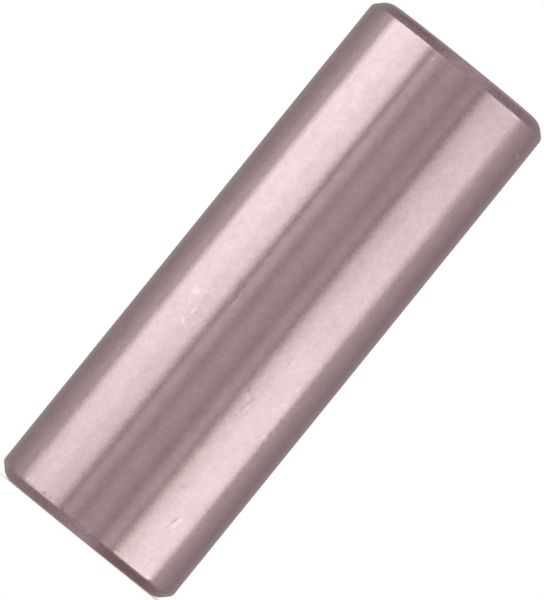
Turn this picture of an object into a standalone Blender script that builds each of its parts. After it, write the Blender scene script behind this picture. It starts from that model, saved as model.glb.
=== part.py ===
"""Gudgeon pin: the hollow steel pin that joins a piston to its connecting rod.

It is one turned piece, ground on the outside, with a bore right through it. Each end of the ground
outside has a lead-in, a 45 degree chamfer whose two edges are rolled over, so that the pin can be
pushed through the piston's bosses without scoring them.

The pin stands on its lower end. The origin is the centre of that end face, and +Z runs up the axis.
"""

import math

import bpy

MM = 0.001

# Ground outside of the pin
OUTER_DIAMETER = 22.0 * MM
LENGTH = 62.0 * MM

# Lead-in at both ends of the outside
LEAD_CHAMFER = 1.3 * MM
SIDE_EDGE_RADIUS = 0.8 * MM
FACE_EDGE_RADIUS = 2.0 * MM

# Bore and the chamfer at both of its mouths
BORE_DIAMETER = 13.0 * MM
MOUTH_CHAMFER = 0.7 * MM
MOUTH_EDGE_RADIUS = 0.25 * MM

# How far a facet may lie inside the true round shape
FACET_ERROR = 0.006 * MM

# How much of the side between two rounded edges their arcs may use
MOST_OF_A_SIDE = 0.96

# Finish: hardened steel, ground and lapped
STEEL_COLOUR = (0.72, 0.60, 0.61, 1.0)
STEEL_ROUGHNESS = 0.22


def clear_scene():
    """Removes whatever the startup file holds."""
    for obj in list(bpy.data.objects):
        bpy.data.objects.remove(obj, do_unlink=True)


def make_material(name, colour, roughness, metallic):
    """A plain Principled BSDF material."""
    material = bpy.data.materials.new(name)
    material.use_nodes = True
    shader = material.node_tree.nodes["Principled BSDF"]
    shader.inputs["Base Color"].default_value = colour
    shader.inputs["Roughness"].default_value = roughness
    shader.inputs["Metallic"].default_value = metallic
    material.diffuse_color = colour
    material.metallic = metallic
    material.roughness = roughness
    return material


def end_form():
    """One end of the section, from the outside in, as (radius, depth below the end face, edge radius)."""
    outer = OUTER_DIAMETER / 2
    bore = BORE_DIAMETER / 2
    return [
        (outer, LEAD_CHAMFER, SIDE_EDGE_RADIUS),
        (outer - LEAD_CHAMFER, 0.0, FACE_EDGE_RADIUS),
        (bore + MOUTH_CHAMFER, 0.0, MOUTH_EDGE_RADIUS),
        (bore, MOUTH_CHAMFER, MOUTH_EDGE_RADIUS),
    ]


def section_corners():
    """The closed section's corners as (radius, height, edge radius).

    They run down the outside, inwards along the lower end and up the bore, so that the turned
    surface faces out.
    """
    lower = end_form()
    upper = [(radius, LENGTH - depth, edge) for radius, depth, edge in reversed(lower)]
    return lower + upper


def edge_reaches(corners):
    """How far each corner's rounding reaches along the two sides that meet there.

    Two roundings never use more than MOST_OF_A_SIDE of the side between them.
    """
    count = len(corners)
    points = [(radius, height) for radius, height, _ in corners]
    reaches = []
    for i, (_, _, edge) in enumerate(corners):
        turn = turn_at(points[i - 1], points[i], points[(i + 1) % count])
        reaches.append(edge * math.tan(turn / 2))
    limited = list(reaches)
    for i in range(count):
        j = (i + 1) % count
        wanted = reaches[i] + reaches[j]
        room = MOST_OF_A_SIDE * math.dist(points[i], points[j])
        share = min(1.0, room / wanted) if wanted else 1.0
        limited[i] = min(limited[i], reaches[i] * share)
        limited[j] = min(limited[j], reaches[j] * share)
    return limited


def turn_at(before, corner, after):
    """The angle by which the outline turns at a corner, in radians."""
    heading_in = math.atan2(corner[1] - before[1], corner[0] - before[0])
    heading_out = math.atan2(after[1] - corner[1], after[0] - corner[0])
    turn = abs(heading_out - heading_in) % (2 * math.pi)
    return min(turn, 2 * math.pi - turn)


def towards(start, end, distance):
    """The point at a distance from start, on the way to end."""
    share = distance / math.dist(start, end)
    return tuple(a + (b - a) * share for a, b in zip(start, end))


def rounded_outline(corners):
    """The section's outline as points, with each corner rounded by an arc."""
    outline = []
    count = len(corners)
    for i, reach in enumerate(edge_reaches(corners)):
        before, corner, after = (corners[k % count][:2] for k in (i - 1, i, i + 1))
        turn = turn_at(before, corner, after)
        start = towards(corner, before, reach)
        end = towards(corner, after, reach)
        steps = steps_for(reach / math.tan(turn / 2), turn)
        outline += arc_points(start, corner, end, turn, steps)
    return outline


def steps_for(radius, angle):
    """How many straight steps keep an arc within FACET_ERROR of the true curve."""
    step_angle = 2 * math.acos(1 - min(FACET_ERROR / radius, 1.0))
    return math.ceil(angle / step_angle)


def arc_points(start, corner, end, turn, steps):
    """Points on the arc that leaves start towards the corner and arrives at end from it."""
    middle = tuple((a + b) / 2 for a, b in zip(start, end))
    to_centre = math.dist(corner, middle) / math.sin(turn / 2) ** 2
    centre = towards(corner, middle, to_centre)
    points = []
    for step in range(steps + 1):
        share = step / steps
        near_start = math.sin((1 - share) * turn) / math.sin(turn)
        near_end = math.sin(share * turn) / math.sin(turn)
        points.append(
            tuple(c + (a - c) * near_start + (b - c) * near_end for c, a, b in zip(centre, start, end))
        )
    return points


def turn_section(name, outline, collection, material):
    """The solid that the closed outline, in the XZ plane, makes when it is turned about Z."""
    mesh = bpy.data.meshes.new(name + "_section")
    vertices = [(radius, 0.0, height) for radius, height in outline]
    edges = [(i, (i + 1) % len(vertices)) for i in range(len(vertices))]
    mesh.from_pydata(vertices, edges, [])
    mesh.materials.append(material)
    obj = bpy.data.objects.new(name, mesh)
    collection.objects.link(obj)

    screw = obj.modifiers.new("turned", "SCREW")
    screw.axis = "Z"
    screw.angle = 2 * math.pi
    screw.steps = 4 * steps_for(OUTER_DIAMETER / 2, math.pi / 2)
    screw.render_steps = screw.steps
    screw.use_merge_vertices = True
    screw.merge_threshold = 0.01 * MM
    screw.use_smooth_shade = True

    normals = obj.modifiers.new("flat_faces_stay_flat", "WEIGHTED_NORMAL")
    normals.weight = 100
    return obj


def main():
    clear_scene()
    collection = bpy.data.collections.new("gudgeon_pin_parts")
    bpy.context.scene.collection.children.link(collection)
    steel = make_material("ground_steel", STEEL_COLOUR, STEEL_ROUGHNESS, metallic=1.0)
    turn_section("gudgeon_pin", rounded_outline(section_corners()), collection, steel)


main()
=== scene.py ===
"""A gudgeon pin of ground steel, standing on its end on a pale floor.

The pin is round and polished, so what shows on it is its surroundings. Soft panels at both sides put
a broad bright band down each side of it, and grey panels in front and behind keep the rest darker.
"""

import math
from typing import NamedTuple

import bmesh
import bpy
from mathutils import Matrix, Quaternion, Vector


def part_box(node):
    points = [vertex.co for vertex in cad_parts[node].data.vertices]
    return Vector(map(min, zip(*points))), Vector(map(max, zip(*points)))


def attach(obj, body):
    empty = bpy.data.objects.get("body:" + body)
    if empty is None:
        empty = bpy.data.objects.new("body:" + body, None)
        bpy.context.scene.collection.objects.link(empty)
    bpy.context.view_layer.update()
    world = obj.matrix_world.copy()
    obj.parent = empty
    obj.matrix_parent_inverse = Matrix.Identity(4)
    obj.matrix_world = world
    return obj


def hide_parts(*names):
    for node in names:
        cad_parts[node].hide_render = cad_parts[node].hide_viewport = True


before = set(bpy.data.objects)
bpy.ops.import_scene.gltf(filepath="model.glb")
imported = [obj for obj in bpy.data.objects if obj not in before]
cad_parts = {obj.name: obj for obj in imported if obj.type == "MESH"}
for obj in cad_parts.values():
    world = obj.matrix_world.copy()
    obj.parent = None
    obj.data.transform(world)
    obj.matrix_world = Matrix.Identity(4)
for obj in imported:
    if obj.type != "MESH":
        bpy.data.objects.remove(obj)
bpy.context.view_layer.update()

MM = 0.001

# The pin, as the frame has it
PIN_NODE = "gudgeon_pin"
TOP_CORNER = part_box(PIN_NODE)[1]
OUTER_RADIUS = TOP_CORNER.x
LENGTH = TOP_CORNER.z
BORE_RADIUS = min(math.hypot(v.co.x, v.co.y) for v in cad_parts[PIN_NODE].data.vertices)

# Its edges, the same as in the frame
LEAD_CHAMFER = 1.3 * MM
SIDE_EDGE_RADIUS = 0.8 * MM
FACE_EDGE_RADIUS = 2.0 * MM
MOUTH_CHAMFER = 0.7 * MM
MOUTH_EDGE_RADIUS = 0.25 * MM

# How finely the pin is drawn here, and how close together two of its points become one
TURN_STEPS = 288
EDGE_STEPS = 12
SIDE_STEPS = 62
JOIN_DISTANCE = 0.002 * MM

# How strongly large faces decide the shading of the small ones beside them. 50 goes by their area.
FACE_WEIGHT = 100

# The pin's finishes, in the order of its materials. The first and the third are told apart from the
# second by the rise of the surface's outward direction, from 0, level, to 1, upright.
GROUND_SIDE, LEAD_EDGE, GROUND_END, BORE = range(4)
GROUND_SIDE_RISE = 0.66
GROUND_END_RISE = 0.97

# The camera: far off and low, so that the pin shows almost without perspective, and rolled over
PHOTO_HEIGHT = 600
PIN_DIAMETER_IN_PHOTO = 217.2
CAMERA_DISTANCE = 2.5
CAMERA_HEIGHT = 0.015
CAMERA_AIM = (-0.04 * MM, 0.0, 30.97 * MM)
CAMERA_ROLL = math.radians(38.97)
CAMERA_SENSOR = 36.0
NEAREST_SEEN = 0.1
FURTHEST_SEEN = 20.0

# The surround: a drum of panels that only reflections see. Right behind the pin, past an azimuth,
# its tones stay the same.
DRUM_RADIUS = 0.25
DRUM_TOP = 0.50
DRUM_FOOT = 0.1 * MM
DRUM_SIDES = 96
DRUM_BACK = math.radians(170)

# Close to the pin, what its side mirrors lies less far round than it does further out. The share by
# which it does is this many radii of the pin over the distance from its axis.
NEAR_SHIFT = 0.46

# The panels, from one azimuth to another, with the tone level with the pin's foot and with its top.
# Azimuths are in degrees to the right of the camera, and tones blend from each panel to the next.
PANELS = (
    # Behind, on the left
    (-180, -180, 0.31, 0.325),
    (-140, -140, 0.26, 0.27),
    (-122, -122, 0.33, 0.35),
    (-109, -103, 0.41, 0.49),
    # The bright panel on the left
    (-93, -93, 0.74, 1.20),
    (-86, -86, 0.88, 1.18),
    (-68, -68, 0.92, 1.20),
    (-60, -60, 0.81, 1.09),
    (-50, -50, 0.82, 1.05),
    (-44, -44, 0.71, 0.98),
    (-40, -40, 0.51, 0.71),
    # In front
    (-35, -35, 0.30, 0.29),
    (-30, -30, 0.45, 0.56),
    (-25, -25, 0.44, 0.52),
    (-16, -16, 0.31, 0.32),
    (-6, 2, 0.39, 0.40),
    (15, 15, 0.29, 0.30),
    (23, 23, 0.44, 0.37),
    (28, 28, 0.47, 0.37),
    (34, 34, 0.34, 0.26),
    # The bright panel on the right
    (44, 44, 0.87, 0.67),
    (50, 50, 0.98, 0.72),
    (62, 62, 1.12, 0.83),
    (87, 87, 1.12, 0.86),
    (94, 94, 1.01, 0.57),
    # Behind, on the right
    (101, 101, 0.47, 0.43),
    (110, 110, 0.40, 0.37),
    (125, 125, 0.30, 0.29),
    (138, 138, 0.245, 0.25),
    (180, 180, 0.31, 0.325),
)
# The panels' tones change along the pin about this share of its length, and further up on the right
PANEL_MIDDLE = 0.455
PANEL_SLANT = 0.14
PANEL_SPREAD = 0.40

# What the chamfers mirror, by the same azimuths: the tone for the lower one and for the upper one.
# The upper one's tones come in from one upward tilt of the pin's surface to another. The lower one's
# are on the drum's floor, and come in from one distance from the axis to another.
CHAMFER_PANELS = (
    (-180, -150, 0.26, 0.28),
    (-100, -50, 0.25, 0.19),
    (-29, -29, 0.30, 0.24),
    (-4, 4, 0.37, 0.39),
    (29, 29, 0.20, 0.35),
    (50, 100, 0.175, 0.235),
    (150, 180, 0.24, 0.26),
)
CHAMFER_TILT = (math.radians(40.0), math.radians(43.0))
CHAMFER_FLOOR = (10.85 * MM, 10.69 * MM)

# The panel overhead, which the end faces mirror
OVERHEAD_TILT = (math.radians(55), math.radians(90))
OVERHEAD_TONE = 0.85

# The darker panels are a little warmer than the bright ones, but less so past an azimuth. Low down
# on the right, the inner edge of the bright panel is a little yellow.
WARM_FLOOR = 0.065
WARM_SHARE = 0.93
COOLER_PAST = 105
COOLER_RED = 0.976
YELLOW_PANELS = (28, 50)
YELLOW_RED = 1.012
YELLOW_BLUE = 0.982

# Light on everything but metal. The world's share and the sun's come to about 1 together, where a
# colour renders as it is written.
WORLD_DIFFUSE = 0.725
SUN_SHARE = 0.25
SUN_AZIMUTH = math.radians(-40)
SUN_ELEVATION = math.radians(55)
SUN_WIDTH = math.radians(50)
FLOOR_COLOUR = (0.80, 0.80, 0.80, 1.0)
FLOOR_GLOW = 0.22
FLOOR_SIZE = 8.0

# Finishes
GROUND_COLOUR = (0.765, 0.60, 0.61)
GROUND_ROUGHNESS = 0.12
LEAD_COLOUR = (0.72, 0.56, 0.57)
LEAD_ROUGHNESS = 0.19
END_COLOUR = (0.68, 0.54, 0.55)
END_ROUGHNESS = 0.28
BORE_COLOUR = (0.60, 0.48, 0.49)
BORE_ROUGHNESS = 0.42

# The rims of the ground side, in mm from the end: a burnished line lightened as a painted glint,
# and before it an edge darkened with painted shade where the bright band gives way to the dark
# chamfer, which ends raggedly. A fade, here and below, goes from where something is gone to where it
# is whole. The line's is counted from the line.
BURNISH_GLINT_LINE = 1.36
BURNISH_GLINT_FADE = (0.14, 0.04)
# The ragged edge is painted shade, where the bright band gives way to the dark chamfer
NIBBLED_SHADE_FADE = (1.14, 1.02)
NIBBLED_SHADE_RAGGEDNESS = 0.9

# The rings on the end faces, to the mm, and how far they are from round
END_RINGS = 7.0
END_RINGS_DRIFT = 0.12

# Marks on the ground side: azimuth in degrees, height, length and width in mm, lean to the right in
# degrees, and how much lighter or darker than the steel. Many are painted glints, and painted shade
# on the dark side of a nick or scratch. Their fade is counted from 1 at the rim of a mark to 0 at its
# middle, and their raggedness is in mm.
MARK_FADE = (1.0, 0.25)
MARK_RAGGEDNESS = 0.35
MARKS_AND_PAINTED_LIGHT = (
    # Three knocks on the left band, each a few small painted glints with a side of painted shade
    (-36.9, 26.8, 2.2, 1.40, 57, 0.06),
    (-37.0, 26.8, 1.5, 0.95, 57, 0.12),
    (-35.1, 25.3, 0.7, 0.40, 0, 0.07),
    (-31.5, 27.4, 0.7, 0.50, 40, 0.08),
    (-29.5, 27.1, 0.9, 0.50, 40, -0.09),
    (-29.9, 25.4, 0.8, 0.54, -40, 0.19),
    (-30.1, 25.0, 0.8, 0.60, 0, 0.20),
    (-28.5, 25.1, 0.6, 0.42, -30, -0.22),
    (-24.8, 25.9, 1.0, 0.46, 60, 0.10),
    (-30.9, 23.6, 1.1, 0.62, -38, 0.21),
    (-28.1, 23.4, 0.7, 0.44, -38, 0.19),
    (-29.3, 22.9, 0.4, 0.30, 0, 0.09),
    (-37.1, 32.5, 0.5, 0.40, 0, 0.11),
    # A long fine scratch beside the left band, in pieces: a painted highlight along it, painted shade
    # beside it
    (-14.9, 28.4, 4.8, 0.28, -3, 0.15),
    (-15.8, 28.7, 1.8, 0.36, -3, -0.18),
    (-16.1, 30.3, 0.6, 0.40, 0, -0.16),
    (-15.6, 27.0, 2.4, 0.26, -3, -0.09),
    (-14.1, 26.9, 0.7, 0.30, 40, 0.12),
    (-12.9, 33.4, 4.2, 0.24, 3, 0.09),
    # Rubbed places at the inner edge of the right band
    (20.6, 22.4, 1.1, 0.54, -20, -0.19),
    (22.4, 21.8, 1.2, 0.60, -30, 0.14),
    (26.4, 21.9, 0.8, 0.40, 8, -0.12),
    (24.8, 21.0, 3.2, 0.36, 8, -0.13),
    (24.0, 19.5, 0.6, 0.40, 0, -0.16),
    (25.9, 20.7, 2.6, 0.36, 8, 0.08),
    (27.3, 24.8, 0.6, 0.36, 10, -0.08),
    (28.9, 24.2, 0.6, 0.36, 10, -0.08),
    (28.2, 24.4, 0.5, 0.34, 80, 0.12),
    (28.6, 27.2, 2.3, 0.30, -12, -0.14),
    (23.3, 32.0, 2.4, 0.26, 54, -0.05),
    # Painted glints and dark specks of painted shade at its outer edge
    (43.9, 23.4, 1.4, 0.46, 57, 0.12),
    (44.4, 25.5, 1.0, 0.66, 0, 0.14),
    (46.8, 19.6, 0.8, 0.56, 0, 0.33),
    (45.0, 19.9, 0.5, 0.50, 0, 0.13),
    (47.6, 18.7, 0.6, 0.36, 0, 0.15),
    (49.5, 20.2, 0.9, 0.42, 0, -0.30),
    (49.6, 18.9, 1.1, 0.40, 0, -0.28),
    (49.9, 17.4, 0.6, 0.36, 0, -0.20),
    (49.5, 22.0, 0.9, 0.36, 0, -0.20),
    (49.2, 25.6, 1.2, 0.34, 0, -0.18),
    (49.3, 15.2, 0.7, 0.36, 0, -0.20),
    (49.8, 11.0, 0.9, 0.36, 0, -0.22),
    (47.5, 9.9, 0.6, 0.40, 0, 0.16),
    (53.1, 8.2, 0.6, 0.34, 0, -0.22),
    (44.9, 12.0, 0.6, 0.40, 0, 0.06),
    # Specks along the right band's inner edge
    (17.1, 30.2, 0.8, 0.36, 0, -0.12),
    (21.8, 27.8, 0.3, 1.30, 0, -0.06),
    (24.8, 18.2, 0.6, 0.38, 0, 0.14),
    (27.3, 46.3, 0.7, 0.36, -60, -0.22),
    (26.0, 49.2, 0.5, 0.34, 0, -0.08),
    (30.0, 50.8, 0.5, 0.34, 30, -0.07),
    (26.1, 10.6, 1.3, 0.56, 60, -0.11),
    # A scratch with two painted glints near the foot, on the right
    (35.3, 7.5, 1.5, 0.36, 10, -0.22),
    (34.2, 6.6, 2.4, 0.30, 10, -0.15),
    (38.0, 7.7, 0.8, 0.60, 0, 0.18),
    (37.1, 7.1, 0.8, 0.54, 0, 0.18),
    # Specks on the left; the lighter ones are painted glints
    (-52.2, 15.3, 0.8, 0.50, 0, -0.21),
    (-33.0, 12.0, 0.7, 0.34, -20, -0.07),
    (-30.9, 4.2, 1.0, 0.42, 10, -0.14),
    (-7.5, 10.3, 0.7, 0.40, 40, -0.06),
    (-17.6, 10.0, 1.0, 0.32, 0, -0.14),
    (-34.3, 56.0, 0.5, 0.40, 0, 0.08),
    (-40.0, 53.3, 0.7, 0.50, 0, 0.08),
    (-41.8, 42.6, 0.5, 0.40, 0, 0.08),
    (-48.0, 47.0, 0.8, 0.44, 0, 0.14),
    (-49.3, 51.2, 1.3, 0.40, 0, 0.14),
    (-49.0, 58.1, 0.7, 0.44, 0, 0.14),
    # Nicks and painted glints at the rims and near them, and painted shade where the left band ends at
    # the foot
    (-14.3, 60.0, 0.9, 0.34, 21, 0.30),
    (67.3, 57.8, 1.6, 0.64, -60, 0.38),
    (-31.2, 1.35, 0.5, 0.84, 0, -0.36),
    (-34.2, 1.2, 0.3, 0.28, 0, -0.24),
    (-26.4, 1.30, 0.40, 0.60, 0, -0.24),
    (-42.0, 1.16, 0.50, 3.60, 0, -0.17),
    (-45.9, 1.28, 0.40, 0.40, 0, 0.40),
    (52.0, 1.7, 0.5, 0.34, 0, -0.24),
    (-28.0, 60.88, 0.40, 1.20, 0, 0.13),
    (-37.5, 60.88, 0.40, 1.20, 0, 0.05),
    (43.6, 60.80, 0.50, 2.20, 0, 0.32),
    (46.9, 1.24, 0.50, 1.60, 0, 0.38),
    (38.5, 1.20, 0.36, 1.40, 0, 0.04),
    (50.4, 1.60, 0.50, 0.36, 0, -0.28),
    (19.9, 1.24, 0.46, 0.70, 0, 0.34),
    (21.6, 1.80, 0.50, 0.34, 0, 0.12),
    (25.4, 1.24, 0.40, 2.00, 0, 0.09),
    # Behind, where the photograph doesn't show
    (150.0, 41.0, 2.8, 0.20, 25, -0.10),
    (-128.0, 18.0, 3.4, 0.20, -8, 0.09),
    (112.0, 12.0, 1.8, 0.26, 50, 0.12),
    (-96.0, 47.0, 2.2, 0.20, 12, -0.10),
    (172.0, 25.0, 1.2, 0.40, -30, 0.12),
)


class Nodes:
    """One node tree, with a short call for each kind of node."""

    def __init__(self, tree):
        self.tree = tree
        tree.nodes.clear()

    def add(self, kind, inputs=None, **settings):
        """A node with its settings, and its inputs given by name or number as values or as links."""
        node = self.tree.nodes.new(kind)
        for name, value in settings.items():
            setattr(node, name, value)
        for key, value in (inputs or {}).items():
            self.feed(node.inputs[key], value)
        return node

    def feed(self, socket, value):
        """Gives an input a value, or links it to another node's output."""
        if isinstance(value, bpy.types.NodeSocket):
            self.tree.links.new(value, socket)
        else:
            socket.default_value = value

    def math(self, operation, *values, clamp=False):
        """An operation on numbers. Its result is kept from 0 to 1 if asked."""
        node = self.add("ShaderNodeMath", operation=operation, use_clamp=clamp)
        for socket, value in zip(node.inputs, values):
            self.feed(socket, value)
        return node.outputs[0]

    def vector(self, operation, *values):
        """An operation on vectors."""
        node = self.add("ShaderNodeVectorMath", operation=operation)
        for socket, value in zip(node.inputs, values):
            self.feed(socket, value)
        return node.outputs["Value" if operation == "LENGTH" else "Vector"]

    def scaled(self, vector, amount):
        """A vector or a colour times a number."""
        node = self.add("ShaderNodeVectorMath", {"Vector": vector, "Scale": amount}, operation="SCALE")
        return node.outputs["Vector"]

    def plus(self, value, pattern, amount):
        """A value with an amount of a pattern added, or the value itself where the amount is 0."""
        return self.math("MULTIPLY_ADD", pattern, amount, value) if amount else value

    def hypotenuse(self, first, second):
        """How long two lengths at right angles are together."""
        squares = self.math("MULTIPLY_ADD", second, second, self.math("MULTIPLY", first, first))
        return self.math("SQRT", squares)

    def smooth_step(self, value, start, end, low=0.0, high=1.0):
        """A value that goes smoothly from low to high as the first goes from start to end."""
        node = self.add(
            "ShaderNodeMapRange",
            {"Value": value, "From Min": start, "From Max": end, "To Min": low, "To Max": high},
            interpolation_type="SMOOTHSTEP",
        )
        return node.outputs["Result"]

    def noise(self, place, grains, detail, evenness):
        """Smooth noise about 0, with so many grains to a unit of place: one number, or one an axis.

        Its detail is the number of finer octaves on top of it, and its evenness how little they fade.
        """
        if isinstance(grains, tuple):
            place = self.vector("MULTIPLY", place, grains)
            grains = 1.0
        node = self.add(
            "ShaderNodeTexNoise",
            {"Vector": place, "Scale": grains, "Detail": detail, "Roughness": evenness},
        )
        return self.math("SUBTRACT", node.outputs["Fac"], 0.5)

    def ramp(self, value, stops):
        """A colour ramp through (place, colour) stops."""
        node = self.add("ShaderNodeValToRGB", {"Fac": value})
        elements = node.color_ramp.elements
        while len(elements) < len(stops):
            elements.new(0.5)
        for element, (place, colour) in zip(elements, stops):
            element.position = place
            element.color = colour
        return node.outputs["Color"]

    def mix(self, share, first, second):
        """Two colours mixed. The sockets for colours come after those for numbers and vectors."""
        node = self.add("ShaderNodeMix", {"Factor": share, 6: first, 7: second}, data_type="RGBA")
        return node.outputs[2]


def azimuth_of(nodes, place):
    """How far round the pin a place is, to the right of the camera."""
    x, y, _ = nodes.add("ShaderNodeSeparateXYZ", {0: place}).outputs
    return nodes.math("ARCTAN2", x, nodes.math("MULTIPLY", y, -1.0))


def height_of(nodes, place):
    """How high a place is above the pin's foot."""
    return nodes.add("ShaderNodeSeparateXYZ", {0: place}).outputs["Z"]


def axis_distance(nodes, place):
    """How far a place is from the pin's axis."""
    return nodes.vector("LENGTH", nodes.vector("MULTIPLY", place, (1.0, 1.0, 0.0)))


def arc_points(corner, before, after, radius, steps):
    """The arc of a radius that rounds the corner on the way from before to after."""
    corner = Vector(corner)
    to_before = (Vector(before) - corner).normalized()
    to_after = (Vector(after) - corner).normalized()
    opening = to_before.angle(to_after)
    reach = radius / math.tan(opening / 2)
    centre = corner + (to_before + to_after).normalized() * (radius / math.sin(opening / 2))
    start = corner + to_before * reach - centre
    end = corner + to_after * reach - centre
    turn = start.angle(end)
    points = []
    for step in range(steps + 1):
        share = step / steps
        near_start = math.sin((1 - share) * turn) / math.sin(turn)
        near_end = math.sin(share * turn) / math.sin(turn)
        points.append(centre + start * near_start + end * near_end)
    return points


def section_outline():
    """The pin's section, closed, as (radius, height): down the outside and up the bore."""
    lower = [
        (OUTER_RADIUS, LEAD_CHAMFER, SIDE_EDGE_RADIUS),
        (OUTER_RADIUS - LEAD_CHAMFER, 0.0, FACE_EDGE_RADIUS),
        (BORE_RADIUS + MOUTH_CHAMFER, 0.0, MOUTH_EDGE_RADIUS),
        (BORE_RADIUS, MOUTH_CHAMFER, MOUTH_EDGE_RADIUS),
    ]
    upper = [(radius, LENGTH - height, edge) for radius, height, edge in reversed(lower)]
    corners = lower + upper
    outline = []
    for i, (radius, height, edge) in enumerate(corners):
        before = corners[i - 1][:2]
        after = corners[(i + 1) % len(corners)][:2]
        outline += arc_points((radius, height), before, after, edge, EDGE_STEPS)
    return outline


def finish_of(outside, rise):
    """Which finish a face has, from the side of the wall that it is on and its outward rise."""
    if rise > GROUND_END_RISE:
        return GROUND_END
    if not outside:
        return BORE
    return GROUND_SIDE if rise < GROUND_SIDE_RISE else LEAD_EDGE


def make_pin():
    """The pin, turned from its section."""
    shape = bmesh.new()
    points = [shape.verts.new((point.x, 0.0, point.y)) for point in section_outline()]
    edges = [shape.edges.new((points[i - 1], points[i])) for i in range(len(points))]
    long_edges = [edge for edge in edges if edge.calc_length() > LENGTH / 2]
    bmesh.ops.subdivide_edges(shape, edges=long_edges, cuts=SIDE_STEPS - 1)
    bmesh.ops.spin(
        shape,
        geom=shape.verts[:] + shape.edges[:],
        cent=(0, 0, 0),
        axis=(0, 0, 1),
        angle=math.tau,
        steps=TURN_STEPS,
    )
    bmesh.ops.remove_doubles(shape, verts=shape.verts[:], dist=JOIN_DISTANCE)
    bmesh.ops.recalc_face_normals(shape, faces=shape.faces[:])
    wall_middle = (OUTER_RADIUS + BORE_RADIUS) / 2
    for face in shape.faces:
        face.smooth = True
        place = face.calc_center_median()
        outside = math.hypot(place.x, place.y) > wall_middle
        face.material_index = finish_of(outside, abs(face.normal.z))
    mesh = bpy.data.meshes.new("turned_pin")
    shape.to_mesh(mesh)
    shape.free()
    pin = bpy.data.objects.new("turned_pin", mesh)
    bpy.context.scene.collection.objects.link(pin)
    normals = pin.modifiers.new("flat_faces_stay_flat", "WEIGHTED_NORMAL")
    normals.weight = FACE_WEIGHT
    return pin


def new_material(name):
    """A material and its node tree, which is empty."""
    material = bpy.data.materials.new(name)
    material.use_nodes = True
    return material, Nodes(material.node_tree)


def place_in_mm(nodes):
    """Where the shaded point is on the pin, in mm."""
    return nodes.scaled(nodes.add("ShaderNodeTexCoord").outputs["Object"], 1 / MM)


class Layer(NamedTuple):
    """A pattern on a metal, and how much it changes the tone, the roughness and, in mm, the height."""

    pattern: bpy.types.NodeSocket
    tone: float = 0.0
    roughness: float = 0.0
    height: float = 0.0


def layered_metal(nodes, colour, roughness, layers):
    """Ends a metal's nodes, with each layer's share in its tone, its roughness and its bump."""
    tone = 1.0
    height = 0.0
    for layer in layers:
        tone = nodes.plus(tone, layer.pattern, layer.tone)
        roughness = nodes.plus(roughness, layer.pattern, layer.roughness)
        height = nodes.plus(height, layer.pattern, layer.height)
    bump = nodes.add("ShaderNodeBump", {"Strength": 1.0, "Distance": MM, "Height": height})
    shader = nodes.add(
        "ShaderNodeBsdfPrincipled",
        {
            "Base Color": nodes.scaled(colour, tone),
            "Roughness": roughness,
            "Metallic": 1.0,
            "Normal": bump.outputs["Normal"],
        },
    )
    nodes.add("ShaderNodeOutputMaterial", {"Surface": shader.outputs["BSDF"]})


def marks_and_painted_light_on_side(nodes, place):
    """All marks together, as how much lighter or darker than the steel they make a point: nicks and
    scratches, with painted glints and painted shade.

    They are placed on the side as if it were unrolled. A little noise moves each point first, which
    makes their outlines ragged.
    """
    noise = nodes.noise(place, grains=4.0, detail=2.0, evenness=0.6)
    ragged = nodes.math("MULTIPLY", noise, MARK_RAGGEDNESS)
    around = nodes.plus(ragged, azimuth_of(nodes, place), OUTER_RADIUS / MM)
    up = nodes.math("SUBTRACT", height_of(nodes, place), ragged)
    lightness = 0.0
    for azimuth, height, length, width, lean, change in MARKS_AND_PAINTED_LIGHT:
        middle = Vector((math.radians(azimuth) * OUTER_RADIUS / MM, height))
        lean = math.radians(lean)
        crosswise = Vector((math.cos(lean), -math.sin(lean))) / (width / 2)
        lengthwise = Vector((math.sin(lean), math.cos(lean))) / (length / 2)
        reaches = []
        for heading in (crosswise, lengthwise):
            reach = nodes.math("MULTIPLY_ADD", up, heading.y, -heading.dot(middle))
            reaches.append(nodes.math("MULTIPLY_ADD", around, heading.x, reach))
        mark = nodes.smooth_step(nodes.hypotenuse(*reaches), *MARK_FADE, high=change)
        lightness = nodes.math("ADD", mark, lightness)
    return lightness


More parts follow.
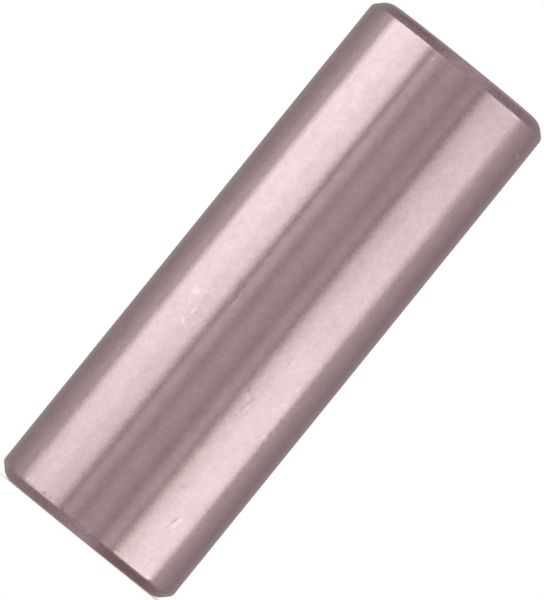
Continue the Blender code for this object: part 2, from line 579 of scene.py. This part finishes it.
def ground_side():
    """The ground and lapped outside: fine rings from the wheel, a faint mottle, rims with painted shade
    and a painted glint line, and marks with painted glints and painted shade.
    """
    material, nodes = new_material("ground_side")
    place = place_in_mm(nodes)
    lapping = nodes.noise(place, grains=1.6, detail=3.0, evenness=0.75)
    mottle = nodes.noise(place, grains=1.1, detail=3.0, evenness=0.95)
    stain = nodes.noise(place, grains=0.35, detail=2.0, evenness=0.5)
    rings = nodes.noise(place, grains=(0.25, 0.25, 9.0), detail=3.0, evenness=0.7)

    height = height_of(nodes, place)
    from_end = nodes.math("MINIMUM", height, nodes.math("SUBTRACT", LENGTH / MM, height))
    # A thin ring lightened as a painted glint, along the burnished line
    off_line = nodes.math("ABSOLUTE", nodes.math("SUBTRACT", from_end, BURNISH_GLINT_LINE))
    burnish_glint = nodes.smooth_step(off_line, *BURNISH_GLINT_FADE)
    # The rims darkened with painted shade, with a ragged edge, where the bright bands end
    nibbled_shade_noise = nodes.noise(place, grains=1.6, detail=2.0, evenness=0.6)
    nibbled_rim_shade = nodes.smooth_step(nodes.plus(from_end, nibbled_shade_noise, NIBBLED_SHADE_RAGGEDNESS), *NIBBLED_SHADE_FADE)

    # Nicks and scratches, with painted glints and painted shade
    marks_and_painted_light = marks_and_painted_light_on_side(nodes, place)
    layers = (
        Layer(lapping, height=0.0104),
        Layer(mottle, tone=0.42, roughness=0.06),
        Layer(stain, tone=0.17),
        Layer(rings, tone=0.03, height=0.00008),
        # Painted glint along the burnished line
        Layer(burnish_glint, tone=0.02),
        # Painted shade at the rims
        Layer(nibbled_rim_shade, tone=-0.22),
        # Painted glints and painted shade of the marks, in the colour
        Layer(marks_and_painted_light, tone=1.0),
        Layer(nodes.math("ABSOLUTE", marks_and_painted_light), roughness=0.15),
    )
    layered_metal(nodes, GROUND_COLOUR, GROUND_ROUGHNESS, layers)
    return material


def lead_edge():
    """The turned chamfers at the ends, tumbled until their rings almost went."""
    material, nodes = new_material("lead_edge")
    place = place_in_mm(nodes)
    rings = nodes.noise(place, grains=(0.3, 0.3, 8.0), detail=2.0, evenness=0.6)
    mottle = nodes.noise(place, grains=2.2, detail=3.0, evenness=0.8)
    layers = (
        Layer(rings, height=0.0010),
        Layer(mottle, tone=0.95, roughness=0.15, height=0.0024),
    )
    layered_metal(nodes, LEAD_COLOUR, LEAD_ROUGHNESS, layers)
    return material


def ground_end():
    """The faced and ground ends, with the rings that the tool left round the bore."""
    material, nodes = new_material("ground_end")
    place = place_in_mm(nodes)
    outward = nodes.math("MULTIPLY", axis_distance(nodes, place), END_RINGS)
    ring_place = nodes.add("ShaderNodeCombineXYZ", {"X": outward}).outputs["Vector"]
    drift = nodes.vector("MULTIPLY", place, (END_RINGS_DRIFT, END_RINGS_DRIFT, 0.0))
    rings = nodes.noise(nodes.vector("ADD", ring_place, drift), grains=1.0, detail=2.0, evenness=0.6)
    mottle = nodes.noise(place, grains=1.4, detail=4.0, evenness=0.8)
    layers = (
        Layer(mottle, tone=0.25, roughness=0.15, height=0.0008),
        Layer(rings, tone=0.12, height=0.0016),
    )
    layered_metal(nodes, END_COLOUR, END_ROUGHNESS, layers)
    return material


def bore_wall():
    """The bore, left as it was drawn: duller, with streaks along it and a darker skin in patches."""
    material, nodes = new_material("bore_wall")
    place = place_in_mm(nodes)
    streaks = nodes.noise(place, grains=(3.0, 3.0, 0.12), detail=3.0, evenness=0.7)
    patches = nodes.noise(place, grains=0.4, detail=4.0, evenness=0.6)
    layers = (
        Layer(streaks, tone=0.5, height=0.006),
        Layer(patches, tone=0.6, roughness=0.3, height=0.004),
    )
    layered_metal(nodes, BORE_COLOUR, BORE_ROUGHNESS, layers)
    return material


def background_rays(nodes):
    """1 for the rays that show the background: the camera's, a reflection's and a clear body's."""
    rays = nodes.add("ShaderNodeLightPath").outputs
    seen = nodes.math("MAXIMUM", rays["Is Camera Ray"], rays["Is Glossy Ray"])
    return nodes.math("MAXIMUM", seen, rays["Is Transmission Ray"])


def make_world():
    """A world that is seen as white, and gives a little less light than that."""
    world = bpy.data.worlds.new("white_room")
    bpy.context.scene.world = world
    world.use_nodes = True
    nodes = Nodes(world.node_tree)
    strength = nodes.plus(WORLD_DIFFUSE, background_rays(nodes), 1.0 - WORLD_DIFFUSE)
    background = nodes.add("ShaderNodeBackground", {"Color": (1, 1, 1, 1), "Strength": strength})
    nodes.add("ShaderNodeOutputWorld", {"Surface": background.outputs["Background"]})


def white_floor():
    """Matt white, with a little glow that only background rays see, which brings it up to white."""
    material, nodes = new_material("white_floor")
    matt = nodes.add("ShaderNodeBsdfDiffuse", {"Color": FLOOR_COLOUR})
    strength = nodes.math("MULTIPLY", background_rays(nodes), FLOOR_GLOW)
    glow = nodes.add("ShaderNodeEmission", {"Strength": strength})
    both = nodes.add("ShaderNodeAddShader", {0: matt.outputs[0], 1: glow.outputs[0]})
    nodes.add("ShaderNodeOutputMaterial", {"Surface": both.outputs[0]})
    return material


def make_floor():
    """A plain white floor, which keeps the pin's shadow."""
    bpy.ops.mesh.primitive_plane_add(size=FLOOR_SIZE)
    floor = bpy.context.object
    floor.name = "floor"
    floor.data.materials.append(white_floor())


def panel_colour(tone, azimuth=0, upper=True):
    """A panel's colour, from its tone and where it is."""
    red = WARM_FLOOR + WARM_SHARE * tone
    blue = tone
    if abs(azimuth) > COOLER_PAST:
        red *= COOLER_RED
    if not upper and YELLOW_PANELS[0] <= azimuth <= YELLOW_PANELS[1]:
        red *= YELLOW_RED
        blue *= YELLOW_BLUE
    return (red, tone, blue, 1.0)


def panel_stops(panels, upper):
    """Panels as stops of a ramp that goes once round, from behind the pin and past its left first."""
    stops = []
    for start, end, foot_tone, top_tone in panels:
        for azimuth in sorted({start, end}):
            tone = top_tone if upper else foot_tone
            stops.append((azimuth / 360 + 0.5, panel_colour(tone, azimuth, upper)))
    return stops


def mirror_angles(nodes, azimuth, distance, height):
    """Names a point of the surround by the part of the pin that mirrors it to the camera in front.

    The first angle is twice the azimuth that this part of the pin faces, which on a level is also the
    point's own azimuth. The second is how far this part faces up. Panels whose edges follow these
    angles run straight up the side of the pin and over its rounded rims.
    """
    outside_pin = nodes.math("MAXIMUM", distance, OUTER_RADIUS)
    nearness = nodes.math("DIVIDE", NEAR_SHIFT * OUTER_RADIUS, outside_pin)
    azimuth = nodes.math("DIVIDE", azimuth, nodes.math("SUBTRACT", 1.0, nearness))
    azimuth = nodes.math("MAXIMUM", nodes.math("MINIMUM", azimuth, DRUM_BACK), -DRUM_BACK)

    above_pin = nodes.math("MAXIMUM", nodes.math("SUBTRACT", height, LENGTH), 0.0)
    elevation = nodes.math("ARCTAN2", above_pin, distance)
    level = nodes.math("COSINE", elevation)
    to_right = nodes.math("MULTIPLY", nodes.math("SINE", azimuth), level)
    to_front = nodes.math("MULTIPLY_ADD", nodes.math("COSINE", azimuth), level, 1.0)
    facing = nodes.math("ARCTAN2", to_right, to_front)
    tilt = nodes.math("ARCTAN2", nodes.math("SINE", elevation), nodes.hypotenuse(to_right, to_front))
    return nodes.math("MULTIPLY", facing, 2.0), tilt


def soft_panels():
    """What the surround shows: the panels round the pin, the chamfers' own, and the one overhead."""
    material, nodes = new_material("soft_panels")
    place = nodes.add("ShaderNodeTexCoord").outputs["Object"]
    height = height_of(nodes, place)
    distance = axis_distance(nodes, place)
    facing, tilt = mirror_angles(nodes, azimuth_of(nodes, place), distance, height)
    turn = nodes.math("MULTIPLY_ADD", facing, 1 / math.tau, 0.5)

    rise = nodes.math("DIVIDE", height, LENGTH, clamp=True)
    middle = nodes.math("MULTIPLY_ADD", facing, PANEL_SLANT, PANEL_MIDDLE)
    past_middle = nodes.math("SUBTRACT", rise, middle)
    upper_share = nodes.smooth_step(past_middle, -PANEL_SPREAD, PANEL_SPREAD)
    foot_level = nodes.ramp(turn, panel_stops(PANELS, upper=False))
    top_level = nodes.ramp(turn, panel_stops(PANELS, upper=True))
    colour = nodes.mix(upper_share, foot_level, top_level)

    above = nodes.ramp(turn, panel_stops(CHAMFER_PANELS, upper=True))
    colour = nodes.mix(nodes.smooth_step(tilt, *CHAMFER_TILT), colour, above)
    colour = nodes.mix(nodes.smooth_step(tilt, *OVERHEAD_TILT), colour, panel_colour(OVERHEAD_TONE))

    below = nodes.ramp(turn, panel_stops(CHAMFER_PANELS, upper=False))
    low = nodes.math("LESS_THAN", height, LENGTH / 2)
    at_foot = nodes.math("MULTIPLY", nodes.smooth_step(distance, *CHAMFER_FLOOR), low)
    colour = nodes.mix(at_foot, colour, below)

    glow = nodes.add("ShaderNodeEmission", {"Color": colour, "Strength": 1.0})
    nodes.add("ShaderNodeOutputMaterial", {"Surface": glow.outputs[0]})
    return material


def make_surround():
    """The drum of soft panels round the pin, which only reflections see."""
    bpy.ops.mesh.primitive_cylinder_add(
        vertices=DRUM_SIDES,
        radius=DRUM_RADIUS,
        depth=DRUM_TOP - DRUM_FOOT,
        location=(0, 0, (DRUM_TOP + DRUM_FOOT) / 2),
    )
    drum = bpy.context.object
    drum.name = "surround"
    bpy.ops.object.transform_apply(location=True)
    for ray in ("camera", "diffuse", "transmission", "volume_scatter", "shadow"):
        setattr(drum, "visible_" + ray, False)
    drum.data.materials.append(soft_panels())


def make_sun():
    """A wide soft light that lights the floor evenly and gives the pin a soft shadow."""
    light = bpy.data.lights.new("soft_sun", "SUN")
    light.energy = SUN_SHARE * math.pi / math.sin(SUN_ELEVATION)
    light.angle = SUN_WIDTH
    sun = bpy.data.objects.new("soft_sun", light)
    level = math.cos(SUN_ELEVATION)
    to_sun = Vector((math.sin(SUN_AZIMUTH) * level, -math.cos(SUN_AZIMUTH) * level, 0.0))
    to_sun.z = math.sin(SUN_ELEVATION)
    sun.rotation_mode = "QUATERNION"
    sun.rotation_quaternion = (-to_sun).to_track_quat("-Z", "Y")
    sun.visible_glossy = False
    bpy.context.scene.collection.objects.link(sun)


def make_camera():
    """The photograph's view: nearly level, far off, and rolled so that the pin leans to the right."""
    data = bpy.data.cameras.new("camera")
    camera = bpy.data.objects.new("camera", data)
    bpy.context.scene.collection.objects.link(camera)
    frame_height = PHOTO_HEIGHT / PIN_DIAMETER_IN_PHOTO * 2 * OUTER_RADIUS
    data.sensor_width = CAMERA_SENSOR
    data.lens = CAMERA_SENSOR * CAMERA_DISTANCE / frame_height
    data.clip_start = NEAREST_SEEN
    data.clip_end = FURTHEST_SEEN
    camera.location = (0.0, -CAMERA_DISTANCE, CAMERA_HEIGHT)
    aim = Vector(CAMERA_AIM) - camera.location
    camera.rotation_mode = "QUATERNION"
    camera.rotation_quaternion = aim.to_track_quat("-Z", "Y") @ Quaternion((0, 0, 1), CAMERA_ROLL)
    bpy.context.scene.camera = camera


def main():
    bpy.context.scene.view_settings.view_transform = "Standard"
    make_camera()
    make_world()
    make_floor()
    make_surround()
    make_sun()

    pin = make_pin()
    for material in (ground_side(), lead_edge(), ground_end(), bore_wall()):
        pin.data.materials.append(material)
    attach(pin, "root")
    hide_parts(PIN_NODE)


main()
